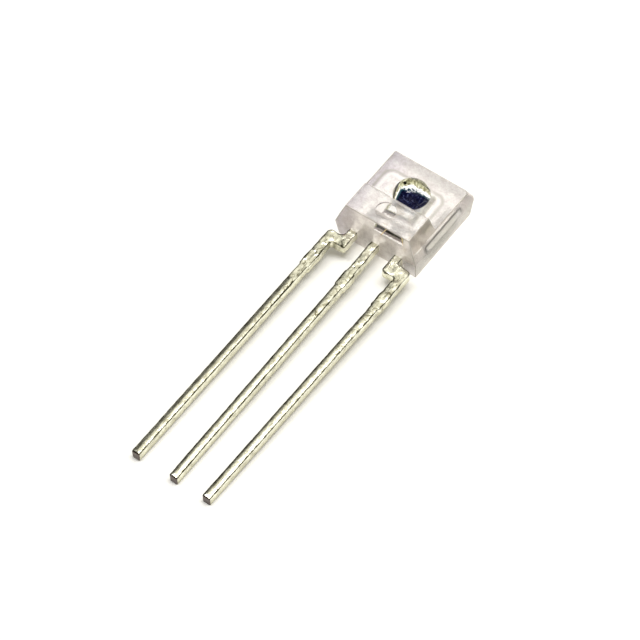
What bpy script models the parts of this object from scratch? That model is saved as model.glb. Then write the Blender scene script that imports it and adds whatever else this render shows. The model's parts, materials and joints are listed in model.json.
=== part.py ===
"""Light-to-frequency sensor in a clear side-looking package, lying on its back.

The clear moulding carries a domed lens on its thin part and a thicker shoulder bar at the lead end.
Inside it are the lead frame, the chip on its paddle, the die adhesive and two bond wires. The three
leads are flat strips: the outer two jog outwards just below the package.

Every piece is first modelled in the package's own axes: X across the leads, Y from the lead end to
the far end, Z from the flat back up to the lens, with the origin on the back face under the middle
of the lead end. The whole part is then turned to lie on its lead tips and on the edge of its back.
"""

import math

import bmesh
import bpy
from mathutils import Vector

MM = 0.001

# Moulded package, measured at the parting line, with every height taken from the flat back
BODY_WIDTH = 4.6 * MM
BODY_LENGTH = 4.87 * MM
PARTING_HEIGHT = 1.15 * MM
LENS_FACE_HEIGHT = 1.73 * MM
SHOULDER_HEIGHT = 2.54 * MM
SHOULDER_LENGTH = 1.9 * MM

# Draft of the moulding, as the distance each wall leans in
BACK_SIDE_DRAFT = 0.1 * MM
BACK_END_DRAFT = 0.15 * MM
SIDE_DRAFT = 0.2 * MM
FAR_END_DRAFT = 0.3 * MM
LEAD_END_DRAFT = 0.06 * MM
SHOULDER_END_DRAFT = 0.3 * MM
SHOULDER_WALL_DRAFT = 0.12 * MM
EDGE_RADIUS = 0.05 * MM
EDGE_SEGMENTS = 2
GATE_CORNER_RADIUS = 0.22 * MM

# Lens, a cap of a ball that rises from the lens face, and ejector pin mark
LENS_RADIUS = 0.92 * MM
LENS_RISE = 0.69 * MM
LENS_Y = 2.92 * MM
LENS_ROOT_DEPTH = 0.1 * MM
EJECTOR_MARK_RADIUS = 0.5 * MM
EJECTOR_MARK_DEPTH = 0.1 * MM
EJECTOR_MARK_X = -0.09 * MM
EJECTOR_MARK_Y = 1.0 * MM

# Leads
LEAD_WIDTH = 0.42 * MM
LEAD_THICKNESS = 0.5 * MM
LEAD_LENGTH = 15.4 * MM
LEAD_EDGE_RADIUS = 0.03 * MM
LEAD_CORNER_RADIUS = 0.05 * MM
JOG_BOTTOM = 1.05 * MM
JOG_LEG_WIDTH = 0.48 * MM
JOG_CROTCH_RADIUS = 0.12 * MM
DAM_BAR_START = 2.0 * MM
DAM_BAR_LENGTH = 0.85 * MM
DAM_BAR_STUB = 0.05 * MM

# Ground lead, on the left, with a long jog
GROUND_EXIT_X = 1.24 * MM
GROUND_LEG_X = 1.99 * MM
GROUND_JOG_START = 0.5 * MM
GROUND_OUTER_RADIUS = 0.2 * MM
GROUND_INNER_RADIUS = 0.3 * MM
GROUND_HEEL_RADIUS = 0.05 * MM
GROUND_LEAN = -0.02 * MM
GROUND_TIP_LIFT = 0.03 * MM

# Supply lead, in the middle
SUPPLY_LEAN = 0.1 * MM

# Output lead, on the right, with a rounder jog
OUTPUT_EXIT_X = 1.31 * MM
OUTPUT_LEG_X = 2.08 * MM
OUTPUT_JOG_START = 0.36 * MM
OUTPUT_OUTER_RADIUS = 0.22 * MM
OUTPUT_INNER_RADIUS = 0.1 * MM
OUTPUT_HEEL_RADIUS = 0.14 * MM
OUTPUT_LEAN = -0.15 * MM

# Paddle and bonding posts, inside the package
PADDLE_WIDTH = 3.36 * MM
PADDLE_NEAR_Y = 1.25 * MM
PADDLE_LENGTH = 2.53 * MM
PADDLE_CORNER_RADIUS = 0.45 * MM
POST_WIDTH = 0.62 * MM
POST_LENGTH = 0.5 * MM
POST_TO_PADDLE = 0.2 * MM

# Chip, set down a little turned, with its adhesive and bond wires
CHIP_WIDTH = 1.38 * MM
CHIP_LENGTH = 1.93 * MM
CHIP_THICKNESS = 0.28 * MM
CHIP_X = 0.217 * MM
CHIP_Y = 2.47 * MM
CHIP_TURN = math.radians(4.5)
ADHESIVE_THICKNESS = 0.03 * MM
ADHESIVE_FILLET = 0.1 * MM
WIRE_RADIUS = 0.02 * MM
WIRE_RISE = 0.16 * MM
WIRE_START_PULL = 1.9
WIRE_END_PULL = 1.6
WIRE_END_REACH = 0.55
BALL_RADIUS = 0.05 * MM
BALL_HEIGHT = 0.035 * MM
BOND_FROM_EDGE = 0.16 * MM
SUPPLY_PAD_X = 0.13 * MM
OUTPUT_PAD_X = 0.46 * MM
OUTPUT_STITCH_X = 0.09 * MM
STITCH_LENGTH = 0.12 * MM
STITCH_WIDTH = 0.07 * MM
STITCH_THICKNESS = 0.035 * MM

# Clearance between the moulding and what it holds, and between stacked pieces
SEAT_GAP = 0.012 * MM

# Facets
LENS_STEPS = 48
LENS_ARC_STEPS = 14
MARK_STEPS = 32
CORNER_STEPS = 5
WIRE_POINTS = 14
WIRE_RESOLUTION = 2
BOND_SEGMENTS = 12
BOND_RINGS = 6
MERGE_DISTANCE = 0.0001 * MM
BEVEL_ANGLE = math.radians(35.0)

# How far a level face may slope
LEVEL_SLOPE = math.radians(8.0)

LEAD_UNDERSIDE = PARTING_HEIGHT - LEAD_THICKNESS
ADHESIVE_BOTTOM = PARTING_HEIGHT + SEAT_GAP
CHIP_BOTTOM = ADHESIVE_BOTTOM + ADHESIVE_THICKNESS + SEAT_GAP
CHIP_TOP = CHIP_BOTTOM + CHIP_THICKNESS
POST_FAR_Y = PADDLE_NEAR_Y - POST_TO_PADDLE


def clear_scene():
    for obj in list(bpy.data.objects):
        bpy.data.objects.remove(obj, do_unlink=True)


def new_collection(name):
    collection = bpy.data.collections.new(name)
    bpy.context.scene.collection.children.link(collection)
    return collection


def new_material(name, color, roughness, metallic=0.0, transmission=0.0):
    material = bpy.data.materials.new(name)
    material.use_nodes = True
    shader = material.node_tree.nodes["Principled BSDF"]
    shader.inputs["Base Color"].default_value = (*color, 1.0)
    shader.inputs["Roughness"].default_value = roughness
    shader.inputs["Metallic"].default_value = metallic
    shader.inputs["Transmission Weight"].default_value = transmission
    material.diffuse_color = (*color, 1.0)
    return material


def add_object(bm, name, collection):
    """Turn a bmesh into an object in one of the collections."""
    mesh = bpy.data.meshes.new(name)
    bm.to_mesh(mesh)
    bm.free()
    obj = bpy.data.objects.new(name, mesh)
    collection.objects.link(obj)
    return obj


def add_bevel(obj, width, segments):
    bevel = obj.modifiers.new("Edges", "BEVEL")
    bevel.width = width
    bevel.segments = segments
    bevel.limit_method = "ANGLE"
    bevel.angle_limit = BEVEL_ANGLE


def add_boolean(obj, other, operation):
    boolean = obj.modifiers.new(other.name, "BOOLEAN")
    boolean.operation = operation
    boolean.solver = "EXACT"
    boolean.object = other


def make_cutter(obj):
    obj.hide_render = True
    obj.display_type = "WIRE"


def tapered_block(bm, low, high):
    """Add a block between two level rectangles, each given as (left, right, near, far, height)."""
    verts = bmesh.ops.create_cube(bm, size=2.0)["verts"]
    for vert in verts:
        left, right, near, far, height = high if vert.co.z > 0 else low
        vert.co = (right if vert.co.x > 0 else left, far if vert.co.y > 0 else near, height)


def grown(rectangle, by, rise=0.0):
    """The same level rectangle with its sides moved out by one distance and its height by another."""
    left, right, near, far, height = rectangle
    return (left - by, right + by, near - by, far + by, height + rise)


def raise_face(bm, face, rectangle):
    """Extrude a level four-sided face up to a new rectangle."""
    left, right, near, far, height = rectangle
    raised = bmesh.ops.extrude_discrete_faces(bm, faces=[face])["faces"][0]
    middle = raised.calc_center_median()
    for vert in raised.verts:
        x = right if vert.co.x > middle.x else left
        y = far if vert.co.y > middle.y else near
        vert.co = (x, y, height)


def top_face(bm, near_y=None):
    """The highest level face, or the one of those whose middle lies nearer than a given Y."""
    level = [f for f in bm.faces if f.normal.z > math.cos(LEVEL_SLOPE)]
    if near_y is not None:
        level = [f for f in level if f.calc_center_median().y < near_y]
    return max(level, key=lambda f: f.calc_center_median().z)


def rounded_outline(corners):
    """Points of a closed outline from its corners, each (x, y, radius), with arcs at the corners."""
    points = []
    count = len(corners)
    for i, (x, y, radius) in enumerate(corners):
        corner = Vector((x, y))
        before = Vector(corners[i - 1][:2]) - corner
        after = Vector(corners[(i + 1) % count][:2]) - corner
        half_turn = before.angle(after) / 2
        reach = min(before.length, after.length) / 2 - MERGE_DISTANCE
        setback = min(radius / math.tan(half_turn), reach)
        if setback <= MERGE_DISTANCE:
            points.append(corner)
            continue
        radius = setback * math.tan(half_turn)
        start = corner + before.normalized() * setback
        end = corner + after.normalized() * setback
        centre = corner + (before.normalized() + after.normalized()).normalized() * (
            radius / math.sin(half_turn))
        sweep = math.pi - 2 * half_turn
        turn = math.copysign(sweep, (start - centre).cross(end - centre))
        for step in range(CORNER_STEPS + 1):
            angle = turn * step / CORNER_STEPS
            arm = start - centre
            points.append(centre + Vector((
                arm.x * math.cos(angle) - arm.y * math.sin(angle),
                arm.x * math.sin(angle) + arm.y * math.cos(angle))))
    return points


def offset_outline(points, by):
    """Move each side of a closed outline outwards, for an outline that runs anticlockwise."""
    moved = []
    count = len(points)
    for i, point in enumerate(points):
        before = (point - points[i - 1]).normalized()
        after = (points[(i + 1) % count] - point).normalized()
        normal_before = Vector((before.y, -before.x))
        normal_after = Vector((after.y, -after.x))
        middle = (normal_before + normal_after).normalized()
        moved.append(point + middle * (by / middle.dot(normal_after)))
    return moved


def flat_plate(name, outline, low, high, collection):
    """A flat strip of the given outline between two heights, from a filled flat curve."""
    curve = bpy.data.curves.new(name, "CURVE")
    curve.dimensions = "2D"
    curve.fill_mode = "BOTH"
    curve.extrude = (high - low) / 2
    spline = curve.splines.new("POLY")
    spline.points.add(len(outline) - 1)
    for target, point in zip(spline.points, outline):
        target.co = (point.x, point.y, 0.0, 1.0)
    spline.use_cyclic_u = True
    guide = bpy.data.objects.new(name + "_guide", curve)
    collection.objects.link(guide)
    guide.location.z = (high + low) / 2
    return mesh_from_curve(guide, name, collection)


def mesh_from_curve(guide, name, collection):
    """Replace a curve object by a closed mesh object in the same place."""
    bpy.context.view_layer.update()
    evaluated = guide.evaluated_get(bpy.context.evaluated_depsgraph_get())
    mesh = bpy.data.meshes.new_from_object(evaluated)
    mesh.transform(guide.matrix_world)
    bpy.data.objects.remove(guide, do_unlink=True)
    bm = bmesh.new()
    bm.from_mesh(mesh)
    bpy.data.meshes.remove(mesh)
    bmesh.ops.remove_doubles(bm, verts=bm.verts, dist=MERGE_DISTANCE)
    bmesh.ops.recalc_face_normals(bm, faces=bm.faces)
    return add_object(bm, name, collection)


def round_gate_corner(bm):
    """Round the upright edges at the far right corner, where the resin runs into the mould."""
    upright = []
    for edge in bm.edges:
        first, second = edge.verts
        at_corner = all(v.co.x > 0.0 and v.co.y > SHOULDER_LENGTH + MERGE_DISTANCE for v in edge.verts)
        if at_corner and abs(first.co.z - second.co.z) > MERGE_DISTANCE:
            upright.append(edge)
    bmesh.ops.bevel(bm, geom=upright, offset=GATE_CORNER_RADIUS, offset_type="OFFSET",
                    segments=CORNER_STEPS, profile=0.5, affect="EDGES", clamp_overlap=True)


def package_body(collection):
    """The moulding before anything is cut out: back half, front half and shoulder bar."""
    half = BODY_WIDTH / 2
    back_half = half - BACK_SIDE_DRAFT
    back = (-back_half, back_half, BACK_END_DRAFT, BODY_LENGTH - BACK_END_DRAFT, 0.0)
    parting = (-half, half, 0.0, BODY_LENGTH, PARTING_HEIGHT)
    lens_half = half - SIDE_DRAFT
    lens_face = (-lens_half, lens_half, LEAD_END_DRAFT, BODY_LENGTH - FAR_END_DRAFT, LENS_FACE_HEIGHT)
    bar_half = lens_half - SHOULDER_END_DRAFT
    bar_near = LEAD_END_DRAFT + SHOULDER_WALL_DRAFT
    bar_far = SHOULDER_LENGTH - SHOULDER_WALL_DRAFT
    bar_top = (-bar_half, bar_half, bar_near, bar_far, SHOULDER_HEIGHT)

    bm = bmesh.new()
    tapered_block(bm, back, parting)
    bm.normal_update()
    raise_face(bm, top_face(bm), lens_face)
    bm.normal_update()
    plate = top_face(bm)
    split = list(plate.verts) + list(plate.edges) + [plate]
    bmesh.ops.bisect_plane(bm, geom=split, dist=MERGE_DISTANCE,
                           plane_co=(0.0, SHOULDER_LENGTH, 0.0), plane_no=(0.0, 1.0, 0.0))
    bm.normal_update()
    raise_face(bm, top_face(bm, near_y=SHOULDER_LENGTH), bar_top)
    round_gate_corner(bm)
    bmesh.ops.recalc_face_normals(bm, faces=bm.faces)
    body = add_object(bm, "clear_package", collection)
    add_bevel(body, EDGE_RADIUS, EDGE_SEGMENTS)
    return body


def lens_dome(collection):
    """A cap of a ball on the lens face, turned from its profile, with a root inside the moulding."""
    bm = bmesh.new()
    centre_height = LENS_RISE - LENS_RADIUS
    reach = math.acos(-centre_height / LENS_RADIUS)
    profile = [(0.0, LENS_RISE)]
    for step in range(1, LENS_ARC_STEPS + 1):
        angle = reach * step / LENS_ARC_STEPS
        profile.append((LENS_RADIUS * math.sin(angle), centre_height + LENS_RADIUS * math.cos(angle)))
    profile.append((LENS_RADIUS * math.sin(reach), -LENS_ROOT_DEPTH))
    profile.append((0.0, -LENS_ROOT_DEPTH))
    verts = [bm.verts.new((x, 0.0, z)) for x, z in profile]
    for first, second in zip(verts, verts[1:]):
        bm.edges.new((first, second))
    lens = add_object(bm, "lens_dome", collection)
    screw = lens.modifiers.new("Turned", "SCREW")
    screw.steps = LENS_STEPS
    screw.render_steps = LENS_STEPS
    screw.use_merge_vertices = True
    screw.merge_threshold = MERGE_DISTANCE
    lens.location = (0.0, LENS_Y, LENS_FACE_HEIGHT)
    make_cutter(lens)
    return lens


def ejector_mark(collection):
    """The round ejector pin mark in the top of the shoulder bar."""
    bm = bmesh.new()
    bmesh.ops.create_cone(bm, cap_ends=True, segments=MARK_STEPS, radius1=EJECTOR_MARK_RADIUS,
                          radius2=EJECTOR_MARK_RADIUS, depth=2 * EJECTOR_MARK_DEPTH)
    mark = add_object(bm, "ejector_mark", collection)
    mark.location = (EJECTOR_MARK_X, EJECTOR_MARK_Y, SHOULDER_HEIGHT)
    make_cutter(mark)
    return mark


def leg_outline(centre, leg_width):
    """Corners down one side of a straight leg, round its tip and up the other side."""
    left, right = centre - LEAD_WIDTH / 2, centre + LEAD_WIDTH / 2
    dam_left, dam_right = left - DAM_BAR_STUB, right + DAM_BAR_STUB
    leg_left, leg_right = centre - leg_width / 2, centre + leg_width / 2
    dam_top = -DAM_BAR_START
    dam_bottom = dam_top - DAM_BAR_LENGTH
    stub_radius = DAM_BAR_STUB / 2
    down = [
        (leg_left, dam_top + DAM_BAR_STUB, stub_radius),
        (dam_left, dam_top, stub_radius),
        (dam_left, dam_bottom, stub_radius),
        (left, dam_bottom - DAM_BAR_STUB, stub_radius),
        (left, -LEAD_LENGTH, LEAD_CORNER_RADIUS),
    ]
    up = [
        (right, -LEAD_LENGTH, LEAD_CORNER_RADIUS),
        (right, dam_bottom - DAM_BAR_STUB, stub_radius),
        (dam_right, dam_bottom, stub_radius),
        (dam_right, dam_top, stub_radius),
        (leg_right, dam_top + DAM_BAR_STUB, stub_radius),
    ]
    return down, up


def leaned(points, lean, start_y):
    """Lean the free length of a lead sideways by a distance at its tip."""
    reach = LEAD_LENGTH + start_y
    return [Vector((p.x + lean * max(0.0, start_y - p.y) / reach, p.y)) for p in points]


def post_corners(centre):
    """The bonding post at the inner end of a lead, wider than the lead on both sides."""
    near_y = POST_FAR_Y - POST_LENGTH
    half, lead_half = POST_WIDTH / 2, LEAD_WIDTH / 2
    shoulder = half - lead_half
    return [
        (centre + lead_half, near_y - shoulder, shoulder / 2),
        (centre + half, near_y, shoulder / 2),
        (centre + half, POST_FAR_Y, LEAD_CORNER_RADIUS),
        (centre - half, POST_FAR_Y, LEAD_CORNER_RADIUS),
        (centre - half, near_y, shoulder / 2),
        (centre - lead_half, near_y - shoulder, shoulder / 2),
    ]


def jogged_lead(exit_x, leg_x, jog_start, heel, outer, inner):
    """Corners of a lead that jogs to the right: down its inner side, round its tip and up the outer."""
    down, up = leg_outline(leg_x, JOG_LEG_WIDTH)
    before = [
        (exit_x - LEAD_WIDTH / 2, -JOG_BOTTOM, heel),
        (leg_x - JOG_LEG_WIDTH / 2, -JOG_BOTTOM, JOG_CROTCH_RADIUS),
    ]
    after = [
        (leg_x + JOG_LEG_WIDTH / 2, -jog_start, outer),
        (exit_x + LEAD_WIDTH / 2, -jog_start, inner),
    ]
    return before + down + up + after


def mirrored(points):
    """The same outline on the other side of the package, still running anticlockwise."""
    return [Vector((-p.x, p.y)) for p in reversed(points)]


def supply_outline():
    """Centre lead: straight, with its bonding post."""
    down, up = leg_outline(0.0, LEAD_WIDTH)
    return leaned(rounded_outline(down + up + post_corners(0.0)), SUPPLY_LEAN, 0.0)


def output_outline():
    """Right-hand lead: jogged, with its bonding post."""
    lead = jogged_lead(OUTPUT_EXIT_X, OUTPUT_LEG_X, OUTPUT_JOG_START, OUTPUT_HEEL_RADIUS,
                       OUTPUT_OUTER_RADIUS, OUTPUT_INNER_RADIUS)
    return leaned(rounded_outline(lead + post_corners(OUTPUT_EXIT_X)), OUTPUT_LEAN, -JOG_BOTTOM)


def ground_outline():
    """Left-hand lead: jogged, and one piece with the paddle that the chip sits on."""
    lead = jogged_lead(GROUND_EXIT_X, GROUND_LEG_X, GROUND_JOG_START, GROUND_HEEL_RADIUS,
                       GROUND_OUTER_RADIUS, GROUND_INNER_RADIUS)
    half = PADDLE_WIDTH / 2
    far_y = PADDLE_NEAR_Y + PADDLE_LENGTH
    paddle = [
        (GROUND_EXIT_X + LEAD_WIDTH / 2, PADDLE_NEAR_Y, LEAD_CORNER_RADIUS),
        (half, PADDLE_NEAR_Y + PADDLE_CORNER_RADIUS, PADDLE_CORNER_RADIUS),
        (half, far_y, PADDLE_CORNER_RADIUS),
        (-half, far_y, PADDLE_CORNER_RADIUS),
        (-half, PADDLE_NEAR_Y, PADDLE_CORNER_RADIUS),
        (GROUND_EXIT_X - LEAD_WIDTH / 2, PADDLE_NEAR_Y, LEAD_CORNER_RADIUS),
    ]
    return leaned(mirrored(rounded_outline(lead + paddle)), GROUND_LEAN, -JOG_BOTTOM)


def lead_with_cutter(name, outline, parts, cutters):
    """One strip of the lead frame, and the room that the moulding leaves for it."""
    lead = flat_plate(name, outline, LEAD_UNDERSIDE, PARTING_HEIGHT, parts)
    add_bevel(lead, LEAD_EDGE_RADIUS, 1)
    room = flat_plate(name + "_room", offset_outline(outline, SEAT_GAP),
                      LEAD_UNDERSIDE - SEAT_GAP, PARTING_HEIGHT + SEAT_GAP, cutters)
    make_cutter(room)
    return lead, room


def lift_tip(lead, lift):
    """Raise a lead evenly towards its tip, because cut leads never end quite level."""
    for vert in lead.data.vertices:
        reach = max(0.0, -JOG_BOTTOM - vert.co.y) / (LEAD_LENGTH - JOG_BOTTOM)
        vert.co.z += lift * reach


def chip_block(name, low, high, collection):
    """A block between two level rectangles in the chip's own axes, set down where the chip is."""
    bm = bmesh.new()
    tapered_block(bm, low, high)
    bmesh.ops.recalc_face_normals(bm, faces=bm.faces)
    block = add_object(bm, name, collection)
    block.location = (CHIP_X, CHIP_Y, 0.0)
    block.rotation_euler.z = CHIP_TURN
    return block


def block_with_cutter(name, low, high, parts, cutters):
    """The chip or its adhesive, and the room that the moulding leaves for it."""
    block = chip_block(name, low, high, parts)
    room = chip_block(name + "_room", grown(low, SEAT_GAP, -SEAT_GAP),
                      grown(high, SEAT_GAP, SEAT_GAP), cutters)
    make_cutter(room)
    return block, room


def chip_rectangle(height):
    return (-CHIP_WIDTH / 2, CHIP_WIDTH / 2, -CHIP_LENGTH / 2, CHIP_LENGTH / 2, height)


def on_chip(x, y):
    """A point on top of the chip, from its place in the chip's own axes."""
    cos, sin = math.cos(CHIP_TURN), math.sin(CHIP_TURN)
    return Vector((CHIP_X + x * cos - y * sin, CHIP_Y + x * sin + y * cos, CHIP_TOP + SEAT_GAP))


def wire_path(start, end):
    """Centre line of a bond wire: straight up from the ball, over a loop and down to the stitch."""
    rise = Vector((0.0, 0.0, WIRE_RISE))
    over = Vector((end.x - start.x, end.y - start.y, 0.0))
    controls = (start, start + rise * WIRE_START_PULL,
                start + rise * WIRE_END_PULL + over * WIRE_END_REACH, end)
    points = []
    for step in range(WIRE_POINTS + 1):
        t = step / WIRE_POINTS
        weights = ((1 - t) ** 3, 3 * t * (1 - t) ** 2, 3 * t * t * (1 - t), t ** 3)
        points.append(sum((c * w for c, w in zip(controls, weights)), Vector()))
    return points


def wire_body(name, start, end, grow, collection):
    """A bond wire as one solid: ball on the chip, loop and flattened stitch on the post."""
    curve = bpy.data.curves.new(name, "CURVE")
    curve.dimensions = "3D"
    curve.bevel_depth = WIRE_RADIUS + grow
    curve.bevel_resolution = WIRE_RESOLUTION
    curve.use_fill_caps = True
    spline = curve.splines.new("POLY")
    path = wire_path(start + Vector((0.0, 0.0, BALL_HEIGHT / 2)), end + Vector((0.0, 0.0, WIRE_RADIUS)))
    spline.points.add(len(path) - 1)
    for target, point in zip(spline.points, path):
        target.co = (*point, 1.0)
    guide = bpy.data.objects.new(name + "_guide", curve)
    collection.objects.link(guide)
    return mesh_from_curve(guide, name, collection)


def ball_bond(name, centre, grow, collection):
    bm = bmesh.new()
    bmesh.ops.create_uvsphere(bm, u_segments=BOND_SEGMENTS, v_segments=BOND_RINGS, radius=1.0)
    size = Vector((BALL_RADIUS + grow, BALL_RADIUS + grow, BALL_HEIGHT / 2 + grow))
    bmesh.ops.scale(bm, vec=size, verts=bm.verts)
    bmesh.ops.translate(bm, vec=centre + Vector((0.0, 0.0, BALL_HEIGHT / 2)), verts=bm.verts)
    ball = add_object(bm, name, collection)
    make_cutter(ball)
    return ball


def stitch_bond(name, centre, grow, collection):
    bm = bmesh.new()
    bmesh.ops.create_uvsphere(bm, u_segments=BOND_SEGMENTS, v_segments=BOND_RINGS, radius=1.0)
    half = Vector((STITCH_WIDTH / 2, STITCH_LENGTH / 2, STITCH_THICKNESS / 2))
    bmesh.ops.scale(bm, vec=half + Vector((grow, grow, grow)), verts=bm.verts)
    bmesh.ops.translate(bm, vec=centre + Vector((0.0, 0.0, half.z)), verts=bm.verts)
    stitch = add_object(bm, name, collection)
    make_cutter(stitch)
    return stitch


def wire_with_cutter(name, pad_x, stitch_x, parts, cutters):
    """A bond wire from the chip's near edge to a post, and the room around it."""
    start = on_chip(pad_x, BOND_FROM_EDGE - CHIP_LENGTH / 2)
    end = Vector((stitch_x, POST_FAR_Y - POST_LENGTH / 2, PARTING_HEIGHT + SEAT_GAP))
    made = []
    for label, grow, collection in ((name, 0.0, parts), (name + "_room", SEAT_GAP, cutters)):
        wire = wire_body(label, start, end, grow, collection)
        add_boolean(wire, ball_bond(label + "_ball", start, grow, cutters), "UNION")
        add_boolean(wire, stitch_bond(label + "_stitch", end, grow, cutters), "UNION")
        made.append(wire)
    make_cutter(made[1])
    return made


def lay_down(pieces, everything):
    """Turn the part onto its lead tips and near back edge, with the origin under its middle."""
    near_edge = BACK_END_DRAFT + EDGE_RADIUS
    tilt = math.atan2(LEAD_UNDERSIDE, LEAD_LENGTH - LEAD_EDGE_RADIUS + near_edge)
    stand = bpy.data.objects.new("lying_pose", None)
    bpy.context.scene.collection.objects.link(stand)
    stand.rotation_euler.x = tilt
    for obj in everything:
        obj.parent = stand
    bpy.context.view_layer.update()
    depsgraph = bpy.context.evaluated_depsgraph_get()
    corners = []
    for piece in pieces:
        evaluated = piece.evaluated_get(depsgraph)
        corners += [evaluated.matrix_world @ v.co for v in evaluated.data.vertices]
    for axis in (0, 1):
        values = [c[axis] for c in corners]
        stand.location[axis] = -(min(values) + max(values)) / 2
    stand.location.z = -min(c.z for c in corners)


def main():
    clear_scene()
    parts = new_collection("light_to_frequency_sensor")
    cutters = new_collection("cutters")

    epoxy = new_material("clear_epoxy", (0.86, 0.82, 0.83), 0.12, transmission=0.9)
    plating = new_material("tin_plating", (0.82, 0.81, 0.74), 0.3, metallic=1.0)
    silicon = new_material("silicon", (0.015, 0.015, 0.08), 0.12)
    adhesive_grey = new_material("silver_adhesive", (0.5, 0.5, 0.48), 0.5)
    gold = new_material("gold_wire", (0.95, 0.75, 0.35), 0.25, metallic=1.0)

    body = package_body(parts)
    add_boolean(body, lens_dome(cutters), "UNION")
    add_boolean(body, ejector_mark(cutters), "DIFFERENCE")

    pieces = [(body, epoxy)]
    rooms = []
    for name, outline in (("ground_lead_with_paddle", ground_outline()),
                          ("supply_lead", supply_outline()),
                          ("output_lead", output_outline())):
        lead, room = lead_with_cutter(name, outline, parts, cutters)
        if name == "ground_lead_with_paddle":
            lift_tip(lead, GROUND_TIP_LIFT)
        pieces.append((lead, plating))
        rooms.append(room)

    adhesive_top = ADHESIVE_BOTTOM + ADHESIVE_THICKNESS
    adhesive, room = block_with_cutter(
        "chip_adhesive", grown(chip_rectangle(ADHESIVE_BOTTOM), ADHESIVE_FILLET),
        grown(chip_rectangle(adhesive_top), ADHESIVE_FILLET - ADHESIVE_THICKNESS), parts, cutters)
    pieces.append((adhesive, adhesive_grey))
    rooms.append(room)
    chip, room = block_with_cutter("sensor_chip", chip_rectangle(CHIP_BOTTOM),
                                   chip_rectangle(CHIP_TOP), parts, cutters)
    pieces.append((chip, silicon))
    rooms.append(room)

    for name, pad_x, stitch_x in (("supply_bond_wire", SUPPLY_PAD_X, 0.0),
                                  ("output_bond_wire", OUTPUT_PAD_X, OUTPUT_EXIT_X + OUTPUT_STITCH_X)):
        wire, room = wire_with_cutter(name, pad_x, stitch_x, parts, cutters)
        pieces.append((wire, gold))
        rooms.append(room)

    for room in rooms:
        add_boolean(body, room, "DIFFERENCE")
    for piece, material in pieces:
        piece.data.materials.append(material)
    lay_down([piece for piece, _ in pieces], list(parts.objects) + list(cutters.objects))


main()
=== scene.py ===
"""Light-to-frequency sensor: a clear moulded package with a domed lens, its plated lead frame, the chip
on its paddle and the bond wires, lying on a white table under a soft overhead light.

Every new piece is modelled in the package's own axes (X across the leads, Y from the lead end to the far
end, Z from the flat back up to the lens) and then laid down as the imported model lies.
"""

import json
import math

import bmesh
import bpy
from bpy.props import FloatProperty, FloatVectorProperty, PointerProperty
from mathutils import Matrix, Vector, kdtree, noise


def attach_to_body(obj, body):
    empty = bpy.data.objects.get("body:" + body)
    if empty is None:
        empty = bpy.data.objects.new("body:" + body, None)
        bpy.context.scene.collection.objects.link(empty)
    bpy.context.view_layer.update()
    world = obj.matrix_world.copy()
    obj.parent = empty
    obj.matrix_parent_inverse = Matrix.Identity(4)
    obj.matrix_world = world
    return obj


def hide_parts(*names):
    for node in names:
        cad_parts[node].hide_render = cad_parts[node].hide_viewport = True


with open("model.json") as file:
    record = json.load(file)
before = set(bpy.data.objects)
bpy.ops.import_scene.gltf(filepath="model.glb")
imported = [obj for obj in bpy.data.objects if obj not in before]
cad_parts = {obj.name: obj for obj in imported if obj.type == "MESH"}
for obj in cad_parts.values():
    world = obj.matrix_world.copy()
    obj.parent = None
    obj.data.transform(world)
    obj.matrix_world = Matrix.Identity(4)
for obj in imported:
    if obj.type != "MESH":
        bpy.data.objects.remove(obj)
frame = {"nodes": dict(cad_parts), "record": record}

bl_info = {
    "name": "Light-to-Frequency Sensor",
    "version": (1, 0, 0),
    "blender": (4, 5, 0),
    "location": "View3D > Sidebar > Sensor",
    "description": "Dresses a clear three-lead light sensor: package, leads, chip, bond wires and stage",
    "category": "Object",
}

MM = 0.001
BODY = "root"
LEAD_NODES = ("ground_lead_with_paddle", "supply_lead", "output_lead")
WIRE_NODES = ("supply_bond_wire", "output_bond_wire")
PLAIN = (1.0, 1.0, 1.0)

# Place of the back's mount along the package, and of the lumps' noise against that of the waves
BACK_MOUNT_Y = 2.4 * MM
LUMP_SHIFT = Vector((7.0, 3.0, 5.0))

# Distances within which points merge or count as level, and the least angle of an edge that is sharp
WELD = 0.0001 * MM
TOUCH = 0.001 * MM
SHARP = math.radians(35.0)

# Least share of a face's normal in the direction that it faces exactly, squarely or mainly
LEVEL = 0.99
SQUARELY = 0.9
MAINLY = 0.5

# Noise values between which one look gives way to the next
CLOUD_SPAN = (0.38, 0.62)
FLECK_SPAN = (0.4, 0.6)
TIN_SPAN = (0.33, 0.6)
UNCREASED_SPAN = (0.44, 0.6)
SPECK_SPAN = (0.58, 0.68)
GRAIN_SPAN = (0.3, 0.7)

# Shares in which patterns are mixed
CLOUD_SHARE = 0.6
CREASE_BEND = 0.45
SMOOTH_SHARE = 0.7
MOTTLE_HEIGHT, GRAIN_HEIGHT, CREASE_HEIGHT = 1.5, 0.25, 0.6
GRAIN_ROUGHNESS, INSIDE_ROUGHNESS = 0.18, 0.3
INSIDE_METAL = 0.25
SPOT_RAGGEDNESS = 0.2

# Millimetres: bare tip, waves of the painted shade line along the edges, length in which creases end, and
# widths of ramps
CUT_TIP = 0.05
MOTTLE_WAVER, GRAIN_WAVER = 0.08, 0.03
CALMING = 2.0
CREASE_SPAN = (0.015, 0.07)
INSIDE_SPAN = (0.0, 0.05)
FRINGE_SPAN = (0.03, 0.07)

# Shares of the pin mark's depth, of the edge radius and of the pin mark's radius that tell faces apart
NEAR_FLOOR = 0.7
NARROW = 0.6
PAST_MARK = 1.1

# The chip on its paddle
CHIP_MIDDLE = (0.217 * MM, 2.47 * MM, 1.204 * MM)
CHIP_TURN = math.radians(4.5)

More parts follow.
